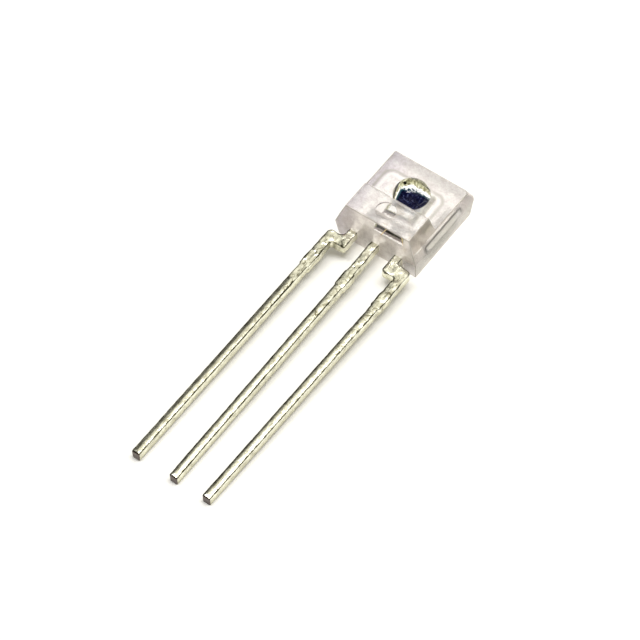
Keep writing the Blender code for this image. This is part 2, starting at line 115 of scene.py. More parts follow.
# Outlines on the chip, as the outward angle (degrees) and distance (millimetres) of each side
SENSING_STRAIGHT = ((0.0, 0.603), (180.0, 0.603), (-90.0, 0.62))
SENSING_RAGGED = ((90.0, 0.745), (119.6, 0.797))
CLEAN_TOP = ((0.0, 0.62), (180.0, 0.63), (90.0, 0.84), (-90.0, 0.925), (135.0, 0.876))
SPOT_PLACE = (-0.566, 0.78)

# The right side's painted pale stripe and dark outline, along the package and up, in millimetres
STRIPE_MIDDLE = (2.32, 1.29)
STRIPE_SIZE = (2.8, 0.4)
STRIPE_CORNER = 0.08
STRIPE_LINE = 0.085
STRIPE_LOW_SHARE = 0.25

# Distance of the glow inside the paddle's outline, in widths of its line
GLOW_INSET = 1.6

# The adhesive: share of its mesh beyond the chip, and the mean and swing of its ragged spread
SKIRT = 0.2
SPREAD_MEAN = 0.75
SPREAD_SWING = 0.5

# Nearness to a direction of the room, as a cosine, over which its light comes in
BRIGHT_SPAN = (0.7, 0.88)
FRONT_SPAN = (0.55, 0.95)


def lying_pose():
    """The matrix from the package's own axes to the table, read from the mount on its flat back."""
    mount = next(m for m in frame["record"]["mounts"] if m["name"] == "package_back")
    tilt = math.atan2(mount["axis"][1], -mount["axis"][2])
    turn = Matrix.Rotation(tilt, 4, "X")
    return Matrix.Translation(Vector(mount["pos_m"]) - turn @ Vector((0.0, BACK_MOUNT_Y, 0.0))) @ turn


LYING = lying_pose()
TIP_Y = min((LYING.inverted() @ v.co).y for v in frame["nodes"]["supply_lead"].data.vertices) / MM
CHIP_PLACE = Matrix.Translation(CHIP_MIDDLE) @ Matrix.Rotation(CHIP_TURN, 4, "Z")


# Shader maths

class Tie:
    """A node socket whose arithmetic adds Math nodes to its tree."""

    def __init__(self, shader, socket):
        self.shader = shader
        self.socket = socket

    def math(self, operation, *others):
        return self.shader.node("ShaderNodeMath", {"operation": operation}, self, *others)

    def __add__(self, other):
        return self.math("ADD", other)

    __radd__ = __add__

    def __sub__(self, other):
        return self.math("SUBTRACT", other)

    def __rsub__(self, other):
        return self.shader.node("ShaderNodeMath", {"operation": "SUBTRACT"}, other, self)

    def __mul__(self, other):
        return self.math("MULTIPLY", other)

    def __gt__(self, other):
        return self.math("GREATER_THAN", other)

    def __lt__(self, other):
        return self.math("LESS_THAN", other)

    def clamp(self):
        """The value kept between 0 and 1."""
        return self.shader.node("ShaderNodeClamp", {}, self)

    def between(self, low, high):
        """0 below the low value, 1 above the high one, and an even ramp from one to the other."""
        return ((self - low) * (1.0 / (high - low))).clamp()


class Shader:
    """A material or world node tree with one method that adds nodes."""

    def __init__(self, owner):
        owner.use_nodes = True
        self.tree = owner.node_tree
        self.tree.nodes.clear()

    def node(self, kind, settings, *values, out=0, **named):
        """Add a node: its settings first, then the values or links of its sockets, by order or name."""
        made = self.tree.nodes.new(kind)
        for key, value in settings.items():
            setattr(made, key, value)
        pairs = list(enumerate(values)) + [(key.replace("_", " "), value) for key, value in named.items()]
        for key, value in pairs:
            self.feed(made.inputs[key], value)
        return Tie(self, made.outputs[out]) if made.outputs else None

    def feed(self, socket, value):
        """Give a socket a link or a constant, stretched to the socket's size."""
        if isinstance(value, Tie):
            self.tree.links.new(value.socket, socket)
        elif value is not None:
            size = len(socket.default_value) if hasattr(socket.default_value, "__len__") else 0
            if size and not hasattr(value, "__len__"):
                value = (value,) * min(size, 3)
            socket.default_value = (*value, 1.0) if size == 4 and len(value) == 3 else value

    def place(self):
        """Object coordinates, in metres."""
        return self.node("ShaderNodeTexCoord", {}, out="Object")

    def along(self, pose):
        """How far the surface lies along each axis of a pose, in millimetres."""
        own = pose.inverted()
        place = self.place()
        return [self.node("ShaderNodeVectorMath", {"operation": "DOT_PRODUCT"}, place,
                          tuple(own[i].to_3d() / MM), out="Value") + own[i][3] / MM for i in range(3)]

    def noise(self, size, detail=3.0, roughness=0.6, stretch=PLAIN):
        """Noise whose patches are about the given size, in metres."""
        scale = tuple(1.0 / (size * s) for s in stretch)
        spread = self.node("ShaderNodeMapping", {}, self.place(), Scale=scale)
        return self.node("ShaderNodeTexNoise", {}, Vector=spread, Scale=1.0, Detail=detail,
                         Roughness=roughness)

    def warped(self, size, ripple):
        """Coordinates counted in a size in metres and bent by noise."""
        spread = self.node("ShaderNodeVectorMath", {"operation": "SCALE"}, self.place(), Scale=1.0 / size)
        bend = self.node("ShaderNodeTexNoise", {}, Vector=self.place(), Scale=1.0 / ripple, Detail=2.0,
                         out="Color")
        bend = self.node("ShaderNodeVectorMath", {"operation": "SCALE"}, bend, Scale=CREASE_BEND)
        return self.node("ShaderNodeVectorMath", {"operation": "ADD"}, spread, bend)

    def blend(self, factor, first, second):
        """A colour between two others."""
        made = self.tree.nodes.new("ShaderNodeMix")
        made.data_type = "RGBA"
        for index, value in ((0, factor), (6, first), (7, second)):
            self.feed(made.inputs[index], value)
        return Tie(self, made.outputs[2])

    def bump(self, height, distance):
        return self.node("ShaderNodeBump", {}, Height=height, Distance=distance, Strength=1.0)

    def surface(self, **sockets):
        """Principled surface, joined to the output."""
        self.node("ShaderNodeOutputMaterial", {}, self.node("ShaderNodeBsdfPrincipled", {}, **sockets))


def new_material(name):
    material = bpy.data.materials.new(name)
    return material, Shader(material)


def rounded_reach(x, y, middle, size, corner):
    """How far a place lies outside a rectangle with rounded corners; all measures in millimetres."""
    across = (x - middle[0]).math("ABSOLUTE") - (size[0] / 2 - corner)
    along = (y - middle[1]).math("ABSOLUTE") - (size[1] / 2 - corner)
    beyond_x, beyond_y = across.math("MAXIMUM", 0.0), along.math("MAXIMUM", 0.0)
    return ((beyond_x * beyond_x + beyond_y * beyond_y).math("SQRT")
            + across.math("MAXIMUM", along).math("MINIMUM", 0.0) - corner)


def side_stripe(shader, s, tone):
    """Painted light and shade on the right side: a pale stripe with a dark outline, and a greyer half below
    it.
    """
    y, z = shader.along(LYING)[1:]
    # Painted shade: greyer below the parting line
    tone = shader.blend(z < s.parting_height / MM, tone, s.side_low_painted_shade)
    reach = rounded_reach(y, z, STRIPE_MIDDLE, STRIPE_SIZE, STRIPE_CORNER)
    # Painted light: the pale stripe; painted shade: its dark outline
    tone = shader.blend(reach < 0.0, tone, s.stripe_pale)
    dark = (1.0 - reach.math("ABSOLUTE") * (1.0 / STRIPE_LINE)).clamp()
    upper = z.between(STRIPE_MIDDLE[1] - STRIPE_LINE, STRIPE_MIDDLE[1] + STRIPE_LINE)
    weight = upper * (1.0 - STRIPE_LOW_SHARE) + STRIPE_LOW_SHARE
    return shader.blend((dark * weight).math("SQRT"), tone, s.stripe_painted_shade)


def seen_through(shader, s, tone):
    """Painted light and shade for what shows through the satin: the paddle's edge as a soft dark line
    around a pale one, and a soft shade on the bar's top.
    """
    x, y, z = shader.along(LYING)
    line = s.outline_line / MM
    reach = rounded_reach(x, y, (s.outline_x / MM, s.outline_y / MM),
                          (s.outline_width / MM, s.outline_length / MM), s.outline_corner / MM)
    low = z < (s.lens_face_height + s.edge_radius) / MM
    dark = (1.0 - reach.math("ABSOLUTE") * (1.0 / line)).clamp() * low
    pale = (1.0 - (reach + GLOW_INSET * line).math("ABSOLUTE") * (1.0 / line)).clamp() * low
    # Painted shade on the paddle's edge, then painted light just inside it
    tone = shader.blend(dark, tone, s.outline_painted_shade)
    tone = shader.blend(pale, tone, s.outline_pale)
    # Painted shade on the bar's top
    off_x, off_y = x - s.shade_x / MM, y - s.shade_y / MM
    reach = (off_x * off_x + off_y * off_y).math("SQRT")
    shade = (1.0 - reach * (MM / s.shade_radius)).clamp() * (1.0 - low)
    return shader.blend(shade.math("SQRT"), tone, s.shade_tone)


def tinted(tone, tint):
    return tuple(t * c for t, c in zip(tone, tint))


def clear_epoxy(name, s, roughness, clearness, texture_depth, tone=PLAIN, shine=1.0):
    """Clear resin: one moulded finish, from polished to satin, that lets the lamp's light through."""
    material, shader = new_material(name)
    normal = None
    tone = tinted(tone, s.tint)
    if texture_depth:
        normal = shader.bump(shader.noise(s.texture_size), texture_depth)
        cloud = shader.noise(s.cloud_size)
        fleck = shader.noise(s.fleck_size, roughness=0.65)
        shade, left = tinted(tone, s.cloud_tone), tinted(tone, s.left_tone)
        x = shader.along(LYING)[0] + (cloud - 0.5) * s.left_waves
        tone = shader.blend(x.between(s.left_from, s.left_to), left, tone)
        patches = cloud.between(*CLOUD_SPAN) * CLOUD_SHARE
        flecks = fleck.between(*FLECK_SPAN) * (1.0 - CLOUD_SHARE)
        tone = shader.blend(patches + flecks, shade, tone)
        if name == "epoxy_satin":
            tone = seen_through(shader, s, tone)
        if name == "epoxy_side":
            tone = side_stripe(shader, s, tone)
    resin = shader.node("ShaderNodeBsdfPrincipled", {}, Base_Color=tone, Roughness=roughness, IOR=s.ior,
                        Transmission_Weight=clearness, Normal=normal, Specular_Tint=shine)
    passed = shader.node("ShaderNodeBsdfTransparent", {}, s.passed_tone)
    lamp = shader.node("ShaderNodeLightPath", {}, out="Is Shadow Ray")
    shader.node("ShaderNodeOutputMaterial", {}, shader.node("ShaderNodeMixShader", {}, lamp, resin, passed))
    return material


def tin_plating(s):
    """Dipped tin: warm bright metal, mottled and creased, with fine grain, a painted dark shade line along
    its edges and painted shade low on its sides.
    """
    material, shader = new_material("tin_plating")
    mottle = shader.noise(s.mottle_size, detail=4.0, stretch=(1.0, 2.0, 1.0))
    grain = shader.noise(s.grain_size, roughness=0.65)
    reach = shader.node("ShaderNodeAttribute", {"attribute_name": "edge_reach"}, out="Fac")
    crease = shader.node("ShaderNodeTexVoronoi", {"feature": "DISTANCE_TO_EDGE"}, Scale=1.0,
                         Vector=shader.warped(s.crease_size, s.crease_size))
    y, z = shader.along(LYING)[1:]
    smooth_to, thick_to = -s.smooth_to / MM, -s.thick_to / MM
    near = y.between(smooth_to, smooth_to / 2)
    far = 1.0 - y.between(thick_to - CALMING, thick_to)
    plain = crease.between(*CREASE_SPAN) + mottle.between(*UNCREASED_SPAN) + near + far * s.far_calm
    # Painted shade: a dark line along each edge, wider on the left edges, for the dark outlines that the
    # edges show
    darkened = reach + (mottle - 0.5) * MOTTLE_WAVER + (grain - 0.5) * GRAIN_WAVER
    inside = y.between(*INSIDE_SPAN)
    tone = shader.blend(mottle.between(*TIN_SPAN), s.dark_tone, s.light_tone)
    tone = shader.blend(plain.clamp(), s.crease_tone, tone)
    tone = shader.blend(near * SMOOTH_SHARE, tone, s.light_tone)
    tone = shader.blend(darkened.between(s.edge_from, s.edge_to), s.edge_painted_shade, tone)
    # Painted shade: the sides darker low down, towards the floor
    tone = shader.blend(z.between(s.foot_low / MM, s.foot_high / MM), s.foot_painted_shade, tone)
    tone = shader.blend(y < TIP_Y + CUT_TIP, tone, s.cut_tone)
    tone = shader.blend(inside, tone, s.inside_tone)
    height = mottle * MOTTLE_HEIGHT + grain * GRAIN_HEIGHT + crease * CREASE_HEIGHT
    shader.surface(Base_Color=tone, Metallic=1.0 - inside * (1.0 - INSIDE_METAL),
                   Roughness=s.tin_roughness + grain * GRAIN_ROUGHNESS + inside * INSIDE_ROUGHNESS,
                   Normal=shader.bump(height, s.mottle_depth))
    return material


def inside_sides(x, y, sides):
    """How far a place lies inside straight sides, each given by its outward angle and its distance."""
    reach = None
    for degrees, distance in sides:
        turn = math.radians(degrees)
        own = distance - (x * math.cos(turn) + y * math.sin(turn))
        reach = own if reach is None else reach.math("MINIMUM", own)
    return reach


def polished_silicon(s):
    """Chip: a dark blue light-sensing area in a pale metal border that covers the circuit."""
    material, shader = new_material("silicon")
    x, y, z = shader.along(LYING @ CHIP_PLACE)
    ragged = (shader.noise(s.grain_size) - 0.5) * s.raggedness
    reach = inside_sides(x, y, SENSING_RAGGED) + ragged
    reach = inside_sides(x, y, SENSING_STRAIGHT).math("MINIMUM", reach)
    speck = shader.noise(s.speck_size, detail=2.0, roughness=0.5)
    sensing = shader.blend(speck.between(*SPECK_SPAN), s.chip_tone, s.speck_tone)
    sensing = shader.blend(reach.between(*FRINGE_SPAN), s.fringe_tone, sensing)
    tone = shader.blend(reach > 0.0, s.border_tone, sensing)
    smear = shader.blend(speck.between(*FLECK_SPAN), s.adhesive_dark, s.adhesive_light)
    tone = shader.blend(inside_sides(x, y, CLEAN_TOP) + ragged > 0.0, smear, tone)
    # A black spot at the chip's far left corner
    off_x, off_y = x - SPOT_PLACE[0], y - SPOT_PLACE[1]
    spot = (off_x * off_x + off_y * off_y).math("SQRT") + ragged * SPOT_RAGGEDNESS
    tone = shader.blend(spot > s.spot_radius / MM, 0.0, tone)
    tone = shader.blend(z > s.chip_top / MM, s.chip_side_tone, tone)
    shader.surface(Base_Color=tone, Roughness=0.5, Specular_IOR_Level=0.0)
    return material


def silver_adhesive(s):
    """Silver-filled adhesive: grainy and half matt, greyer at the lead end."""
    material, shader = new_material("silver_adhesive")
    grain = shader.noise(s.grain_size)
    tone = shader.blend(grain.between(*GRAIN_SPAN), s.adhesive_dark, s.adhesive_light)
    y = shader.along(LYING @ CHIP_PLACE)[1]
    tone = shader.blend(y > -s.near_from / MM, s.adhesive_near, tone)
    shader.surface(Base_Color=tone, Roughness=0.5, Metallic=0.3, Normal=shader.bump(grain, s.grain_depth))
    return material


def gold(s):
    """Gold wire, with the fine unevenness of its drawing."""
    material, shader = new_material("gold_wire")
    drawn = shader.noise(s.grain_size, detail=2.0, roughness=0.5)
    shader.surface(Base_Color=s.gold_tone, Metallic=1.0, Roughness=drawn * 0.15 + 0.2)
    return material


# Mesh helpers

def finished_object(bm, name, matrix=LYING):
    """Turn a bmesh in the package's own axes into an object that lies on the table."""
    bm.transform(matrix)
    mesh = bpy.data.meshes.new(name)
    bm.to_mesh(mesh)
    bm.free()
    piece = bpy.data.objects.new(name, mesh)
    bpy.context.scene.collection.objects.link(piece)
    return piece


def apply_modifiers(piece):
    """Replace an object's mesh by the result of its modifiers."""
    bpy.context.view_layer.update()
    evaluated = piece.evaluated_get(bpy.context.evaluated_depsgraph_get())
    mesh = bpy.data.meshes.new_from_object(evaluated)
    piece.modifiers.clear()
    old = piece.data
    piece.data = mesh
    bpy.data.meshes.remove(old)
    mesh.name = piece.name


def cut_or_join(piece, other, operation):
    """Boolean one object into another and remove the other."""
    boolean = piece.modifiers.new(other.name, "BOOLEAN")
    boolean.operation = operation
    boolean.solver = "EXACT"
    boolean.object = other
    apply_modifiers(piece)
    bpy.data.objects.remove(other, do_unlink=True)


def smooth_with_sharp_edges(piece, degrees):
    piece.data.shade_smooth()
    piece.data.set_sharp_from_angle(angle=math.radians(degrees))


def paint(mesh, *materials):
    """Give a mesh these materials in place of its own."""
    mesh.materials.clear()
    for material in materials:
        mesh.materials.append(material)


def attach(piece, node):
    """Ride the one body and take the place of a CAD node."""
    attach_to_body(piece, BODY)
    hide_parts(node)


def split_faces(bm, faces, place, normal):
    """Cut faces in two where a plane crosses them."""
    geom = dict.fromkeys(g for f in faces for g in (*f.verts, *f.edges, f))
    bmesh.ops.bisect_plane(bm, geom=list(geom), dist=WELD, plane_co=place, plane_no=normal)


def held(value):
    """A number kept between 0 and 1."""
    return min(1.0, max(0.0, value))


def drafted_block(bm, low, high):
    """A block between two level rectangles, each given as (left, right, near, far, height)."""
    for vert in bmesh.ops.create_cube(bm, size=2.0)["verts"]:
        left, right, near, far, height = high if vert.co.z > 0 else low
        vert.co = (right if vert.co.x > 0 else left, far if vert.co.y > 0 else near, height)


def raise_face(bm, face, rectangle):
    """Extrude a level four-sided face up to a new rectangle."""
    left, right, near, far, height = rectangle
    raised = bmesh.ops.extrude_discrete_faces(bm, faces=[face])["faces"][0]
    middle = raised.calc_center_median()
    for vert in raised.verts:
        vert.co = (right if vert.co.x > middle.x else left, far if vert.co.y > middle.y else near, height)
    bm.normal_update()


def level_face(bm, y):
    """The highest level face that a line straight down at the given Y meets first."""
    found = [f for f in bm.faces if f.normal.z > LEVEL
             and min(v.co.y for v in f.verts) < y < max(v.co.y for v in f.verts)]
    return max(found, key=lambda f: f.calc_center_median().z)


# Settings

def labelled(group):
    """Name each setting in the sidebar after its attribute."""
    for key, value in group.__annotations__.items():
        value.keywords["name"] = key.replace("_", " ").capitalize()
    return group


def number(description, value):
    return FloatProperty(description=description, default=value)


def share(description, value):
    return FloatProperty(description=description, default=value, min=0.0, max=1.0, subtype="FACTOR")


def length(description, millimetres):
    return FloatProperty(description=description, default=millimetres * MM, unit="LENGTH", precision=6)


def angle(description, degrees):
    return FloatProperty(description=description, default=math.radians(degrees), subtype="ANGLE")


def color(description, value):
    return FloatVectorProperty(description=description, default=value, subtype="COLOR", size=3, min=0.0,
                               max=1.0)


def direction(description, value):
    return FloatVectorProperty(description=description, default=value, subtype="DIRECTION", size=3)


@labelled
class PackageSettings(bpy.types.PropertyGroup):
    """Sizes and finish of the clear moulding."""

    body_width: length("Width of the package at the parting line", 4.6)
    body_length: length("Length of the package at the parting line", 4.87)
    parting_height: length("Height of the parting line over the back", 1.15)
    lens_face_height: length("Height of the thin part", 1.73)
    shoulder_height: length("Height of the bar at the lead end", 2.54)
    shoulder_length: length("Length of the bar at its foot", 1.9)
    back_side_draft: length("Lean of the back half's sides", 0.1)
    back_end_draft: length("Lean of the back half's ends", 0.15)
    side_draft: length("Lean of the front half's sides", 0.2)
    far_end_draft: length("Lean of the front half's far end", 0.3)
    lead_end_draft: length("Lean of the front half's lead end", 0.06)
    shoulder_end_draft: length("Lean of the bar's ends", 0.3)
    shoulder_wall_draft: length("Lean of the bar's long walls", 0.12)
    edge_radius: length("Radius of the moulded edges", 0.05)
    gate_corner_radius: length("Radius of the far right corner", 0.22)
    lens_radius: length("Radius of the ball that the lens is a cap of", 0.92)
    lens_rise: length("Height of the lens over its face", 0.69)
    lens_root: length("Depth to which the lens's foot reaches under its face", 0.2)
    lens_y: length("Distance of the lens from the lead end", 2.92)
    mark_radius: length("Radius of the ejector pin mark", 0.5)
    mark_depth: length("Depth of the ejector pin mark", 0.1)
    mark_x: length("Distance of the pin mark from the middle", -0.09)
    mark_y: length("Distance of the pin mark from the lead end", 1.0)
    tint: color("Tint of the resin", (0.965, 0.945, 0.935))
    cloud_tone: color("Tint of the cloudy patches", (0.68, 0.65, 0.65))
    cloud_size: length("Size of the cloudy patches", 0.35)
    fleck_size: length("Size of the fine flecks", 0.1)
    passed_tone: color("Share of the lamp's light that each surface lets through", (0.97, 0.96, 0.94))
    top_tone: color("Tint of the satin faces", (0.93, 0.93, 0.93))
    # Painted shade: the moulded edges darkened for the dark outlines that they show
    edge_painted_shade: color("Tint of the moulded edges", (0.5, 0.475, 0.44))
    mark_roughness: share("Finish of the pin mark's floor", 0.1)
    ior: number("How strongly the resin bends light", 1.53)
    top_roughness: share("Satin finish of the top, the far end and the back", 0.22)
    top_clearness: share("Share of light let through a satin face", 0.55)
    side_roughness: share("Finish of the right side", 0.22)
    side_clearness: share("Share of light let through the right side", 0.72)
    mark_clearness: share("Share of light let through the pin mark's floor", 0.8)
    wall_roughness: share("Finish of the lead end and the left side", 0.3)
    window_roughness: share("Finish of the bar's clear front", 0.03)
    window_left: length("Left side of the bar's clear front", -0.13)
    window_right: length("Right side of the bar's clear front", 1.5)
    clear_corner: length("Distance from the middle at which the clear corner begins", 1.55)
    window_bottom: length("Height at which the bar's clear front begins", 1.94)
    wall_tone: color("Tint of the lead end and the left side", (1.0, 0.97, 0.92))
    # Painted shade: the right side tinted greyer than the top, and greyer still below the parting line
    side_tone: color("Tint of the right side", (0.88, 0.845, 0.81))
    side_low_painted_shade: color("Tint of the right side's lower half", (0.76, 0.74, 0.67))
    # Painted light of the stripe and painted shade of its outline
    stripe_pale: color("Tint of the right side's stripe", (1.0, 0.99, 0.93))
    stripe_painted_shade: color("Tint of the stripe's outline", (0.015, 0.01, 0.006))
    # Painted shade: the bar's right end darker than the rest of the resin
    end_painted_shade: color("Tint of the bar's right end", (0.53, 0.49, 0.42))
    left_tone: color("Lilac cast of the left side", (0.87, 0.85, 0.97))
    left_from: number("Where the cast is full, in millimetres from the middle", -1.9)
    left_to: number("Where the cast ends, in millimetres from the middle", -1.0)
    left_waves: number("Waves of the cast's edge, in millimetres", 2.0)
    lens_shine: share("Share of the lens's mirror reflection that is kept", 0.55)
    outline_x: length("Where the paddle shows, from the middle", -0.13)
    outline_y: length("Where the paddle shows, from the lead end", 2.42)
    outline_width: length("Width of the paddle's outline", 3.26)
    outline_length: length("Length of the paddle's outline", 2.4)
    outline_corner: length("Corner radius of the paddle's outline", 0.45)
    outline_line: length("Half width of the outline's soft line", 0.13)
    shade_x: length("Where the bar is shaded, from the middle", 0.32)
    shade_y: length("Where the bar is shaded, from the lead end", 1.48)
    shade_radius: length("Radius of the soft shade in the bar", 0.3)
    shade_tone: color("Tint of the shade in the bar", (0.5, 0.44, 0.38))
    # Painted shade and painted light of the paddle's outline seen through the top
    outline_painted_shade: color("Tint of the paddle's outline", (0.48, 0.46, 0.43))
    outline_pale: color("Tint inside the paddle's outline", (0.94, 0.93, 0.92))
    wall_clearness: share("Share of light let through the lead end and the left side", 0.5)
    texture_size: length("Size of the satin texture's grains", 0.07)
    texture_depth: length("Depth of the satin texture", 0.012)


@labelled
class LeadSettings(bpy.types.PropertyGroup):
    """Dipped plating of the leads."""

    voxel: length("Size of the faces of the dipped surface", 0.026)
    wave_size: length("Length of the waves along the leads", 0.5)
    wave_depth: length("Height of the waves", 0.04)
    thin_depth: share("Share of the waves left at the tips", 0.15)
    thick_to: length("Distance from the package up to which the tin lies thick", 5.0)
    thin_over: length("Length over which the tin thins out", 3.0)
    calm_length: length("Length at the package over which the waves begin", 0.25)
    lump_size: length("Size of the lumps of tin", 0.2)
    lump_depth: length("Height of the lumps", 0.014)
    crown: length("Height of a lead's rounded top over its edges", 0.056)
    crown_least: length("Height of the rounded top close to the package", 0.012)
    crown_start: length("Distance from the package at which the top begins to round", 1.2)
    crown_width: length("Distance from an edge at which the top is level", 0.21)
    ground_lean: number("Slope of the ground lead's top up to its right", 0.13)
    mottle_size: length("Size of the mottled patches", 0.17)
    mottle_depth: length("Bump height of the patches", 0.01)
    smooth_to: length("Distance from the package up to which the tin is smooth", 1.15)
    # Painted shade on the sides: full up to the first height, gone above the second
    foot_low: length("Height over the back at which the sides are dark", 0.6)
    foot_high: length("Height over the back at which the sides are bright", 1.05)
    crease_size: length("Distance between the creases of the tin skin", 0.36)
    crease_tone: color("Colour of the creases", (0.22, 0.2, 0.12))
    far_calm: share("Share of the creases left out beyond the thick dip", 0.65)
    # Widens the painted shade line along the left edges
    left_narrowing: share("Narrowing of the distance to a left edge", 0.55)
    grain_size: length("Size of the fine grain", 0.035)
    light_tone: color("Colour of the bright places", (0.97, 0.96, 0.8))
    dark_tone: color("Colour of the dull places", (0.55, 0.53, 0.4))
    # Painted shade low on the sides
    foot_painted_shade: color("Colour of the tin low on the sides", (0.5, 0.48, 0.33))
    inside_tone: color("Colour of the matt lead frame inside the resin", (0.93, 0.91, 0.88))
    cut_tone: color("Colour of the bare cut ends", (0.11, 0.085, 0.075))
    # Painted shade: the dark line along the edges, its width and where it ends
    edge_painted_shade: color("Colour of the worn edges", (0.07, 0.065, 0.035))
    edge_from: number("Width of the worn edge's dark line, in millimetres", 0.018)
    edge_to: number("Distance at which the tin is bright, in millimetres", 0.055)
    tin_roughness: share("Roughness of the brightest tin", 0.18)


@labelled
class ChipSettings(bpy.types.PropertyGroup):
    """Sizes and colours of what is cast into the package."""

    chip_tone: color("Colour of the light-sensing area", (0.0002, 0.0006, 0.014))
    speck_tone: color("Colour of the chip's small lighter places", (0.05, 0.06, 0.13))
    fringe_tone: color("Colour along the edge of the sensing area", (0.02, 0.07, 0.09))
    border_tone: color("Colour of the metal over the circuit", (0.96, 0.97, 0.96))
    chip_side_tone: color("Colour of the sawn sides", (0.03, 0.024, 0.02))
    adhesive_light: color("Colour of the silver-filled adhesive", (0.55, 0.55, 0.36))
    adhesive_dark: color("Colour of the adhesive's grains", (0.14, 0.13, 0.06))
    adhesive_near: color("Colour of the adhesive at the lead end", (0.33, 0.29, 0.28))
    speck_size: length("Size of the chip's lighter places", 0.06)
    grain_size: length("Size of the grains of adhesive and gold", 0.045)
    grain_depth: length("Bump height of the grains", 0.02)
    raggedness: number("Waves of the chip's outlines, in millimetres", 0.3)
    spot_radius: length("Radius of the dark pit at the chip's far left corner", 0.047)
    chip_top: length("Height over the middle above which the chip's face begins", 0.27)
    chip_half_width: length("Half the width of the chip", 0.69)
    chip_half_length: length("Half the length of the chip", 0.965)
    near_from: length("Distance from the middle at which the near adhesive begins", 0.94)
    fillet_floor: length("Height of the paddle against the chip's middle", -0.042)
    fillet_film: length("Least thickness of the adhesive", 0.03)
    fillet_sway: number("Share by which the fillet's outline wanders", 0.06)
    fillet_width: length("How far the adhesive spreads from the chip", 0.12)
    fillet_height: length("How high it climbs the chip's sides", 0.22)
    fillet_waves: length("Size of the fillet's ragged waves", 0.12)
    gold_tone: color("Colour of the bond wires", (0.98, 0.78, 0.4))


@labelled
class StageSettings(bpy.types.PropertyGroup):
    """Camera, floor and lights."""

    azimuth: angle("Camera direction", 36.306)
    elevation: angle("Camera height over the horizon", 53.995)
    distance: length("Camera distance from its aim", 143.95)
    aim_x: length("Place across the floor that the camera looks at", 0.034)
    aim_y: length("Place along the floor that the camera looks at", 0.897)
    focal_length: number("Focal length of the camera, in millimetres", 176.58)
    floor_size: length("Size of the floor", 2000.0)
    floor_tone: color("Colour of the floor", (0.93, 0.92, 0.89))
    floor_lift: share("Glow that takes the lit floor to white", 0.07)
    key_strength: number("Radiance of the overhead softbox", 11.9)
    key_width: length("Long side of the softbox", 195.0)
    key_depth: length("Short side of the softbox", 46.0)
    key_distance: length("Distance of the softbox from the part", 200.0)
    key_way: direction("Right, up and towards the camera", (-0.048, 0.528, 0.84))
    key_aim_y: length("Place along the floor that the softbox faces", 7.0)
    bright_way: direction("Middle of the bright side of the room", (0.1, 0.45, 0.89))
    front_way: direction("Middle of the front side of the room", (0.4, -0.9, 0.15))
    bright_tone: color("Colour of the room behind and over the part", (0.95, 0.925, 0.83))
    front_tone: color("Colour of the room low before the part", (0.7, 0.67, 0.61))
    dim_tone: color("Colour of the rest of the room", (0.1, 0.097, 0.084))


# Package

